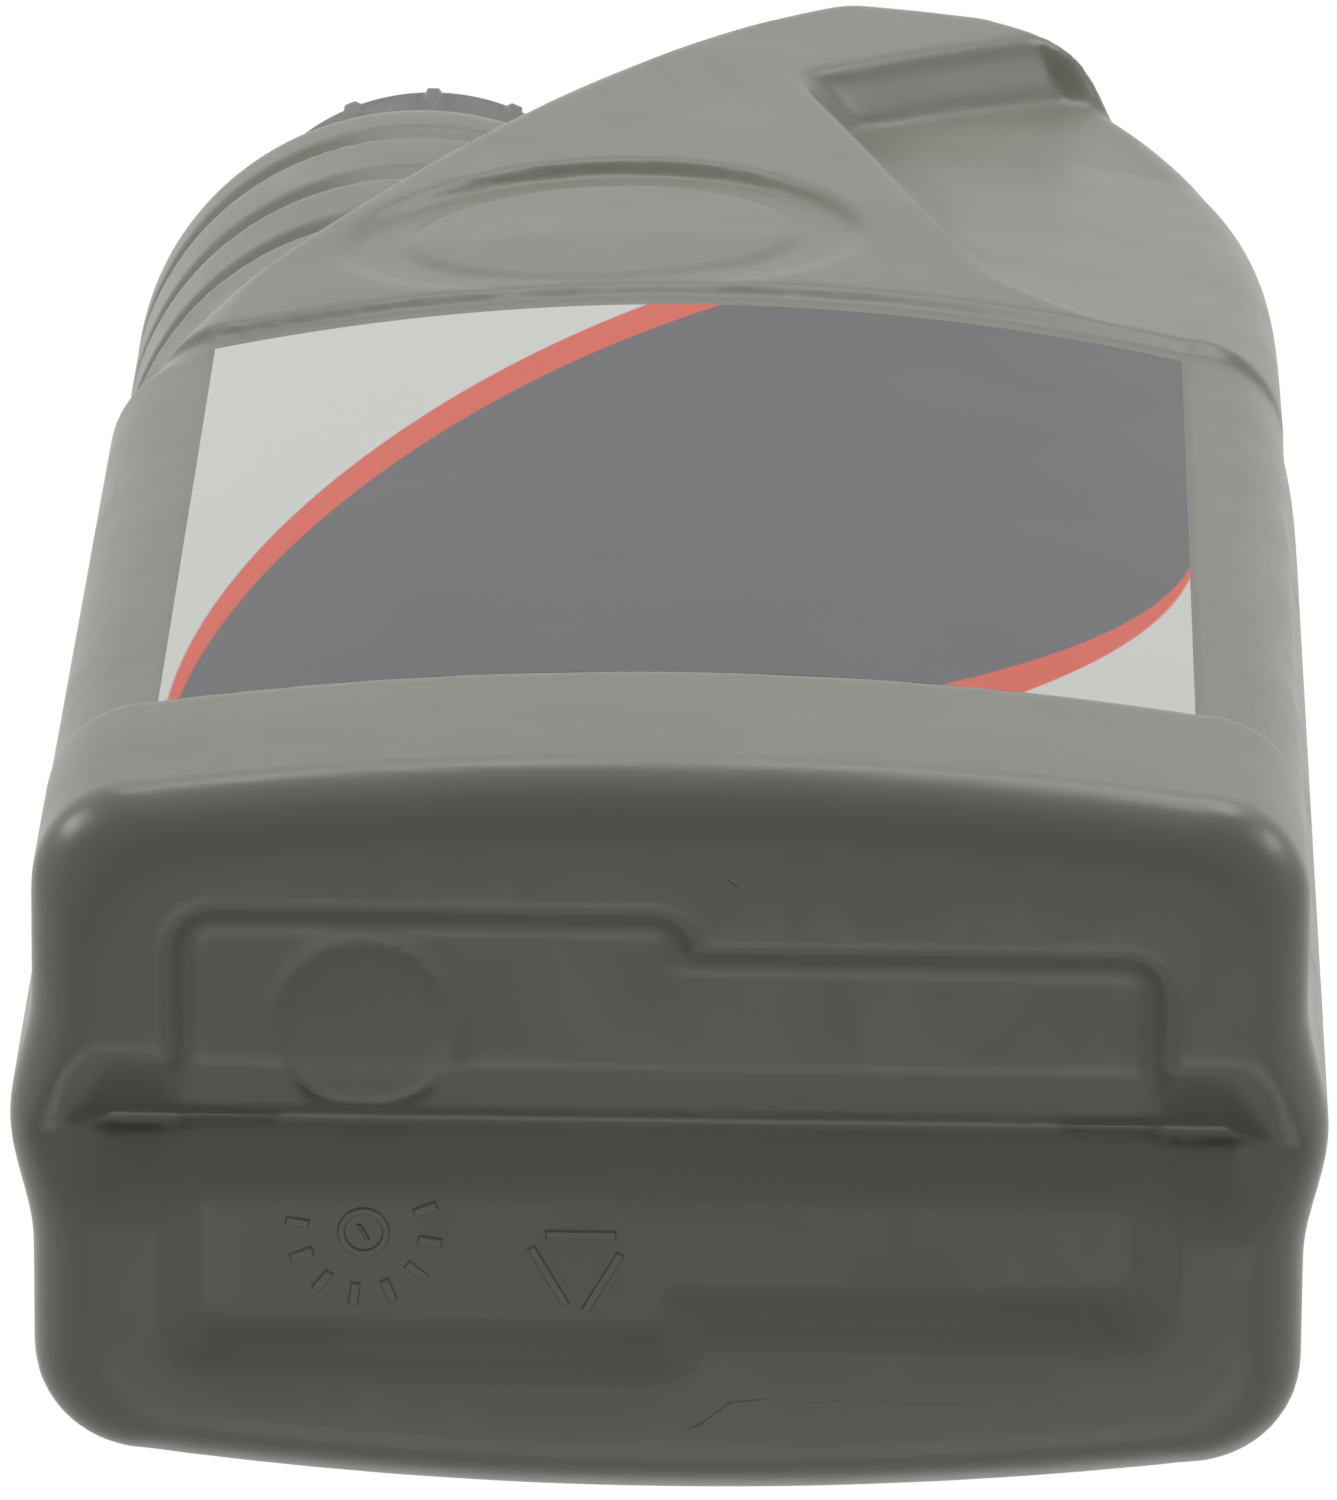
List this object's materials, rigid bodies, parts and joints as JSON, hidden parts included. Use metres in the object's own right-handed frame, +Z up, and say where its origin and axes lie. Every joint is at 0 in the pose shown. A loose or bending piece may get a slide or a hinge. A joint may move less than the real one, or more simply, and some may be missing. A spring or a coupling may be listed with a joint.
{
  "type": "moulded bottle for transmission fluid",
  "caption": "Blow-moulded oil bottle with an offset ribbed neck tower, a pinched grip block, a label recess and a screw cap that lifts as it turns.",
  "frame": {"origin": "middle of the base rim, on the surface that the bottle stands on", "axes": "+Z up along the bottle, +X towards the grip, -Y towards the labelled front"},
  "size_m": [0.1084, 0.064, 0.2286],
  "materials": {
    "blown_hdpe": "grey blow-moulded polyethylene with a soft satin skin",
    "cap_plastic": "dark grey moulded polypropylene, satin",
    "liner_foam": "pale foamed sealing disc",
    "label_film": "printed self-adhesive film with plain fields of colour",
    "fluid": "clear amber liquid"
  },
  "bodies": {
    "bottle": {"bottle": "blown_hdpe", "tamper_band": "cap_plastic", "label_front": "label_film", "fluid": "fluid"},
    "lift": {"cap_liner": "liner_foam"},
    "cap": {"cap": "cap_plastic"}
  },
  "joints": [
    {"name": "cap_lift", "type": "slide", "parent": "bottle", "child": "lift", "axis": [0, 0, 1], "range_m": [0, 0.0076]},
    {"name": "cap_turn", "type": "hinge", "parent": "lift", "child": "cap", "pos_m": [-0.027, 0, 0.2077], "axis": [0, 0, 1], "range_deg": [0, 540]}
  ],
  "couplings": [
    {"joint": "cap_lift", "follows": "cap_turn", "m_per_rad": 0.00079577}
  ]
}
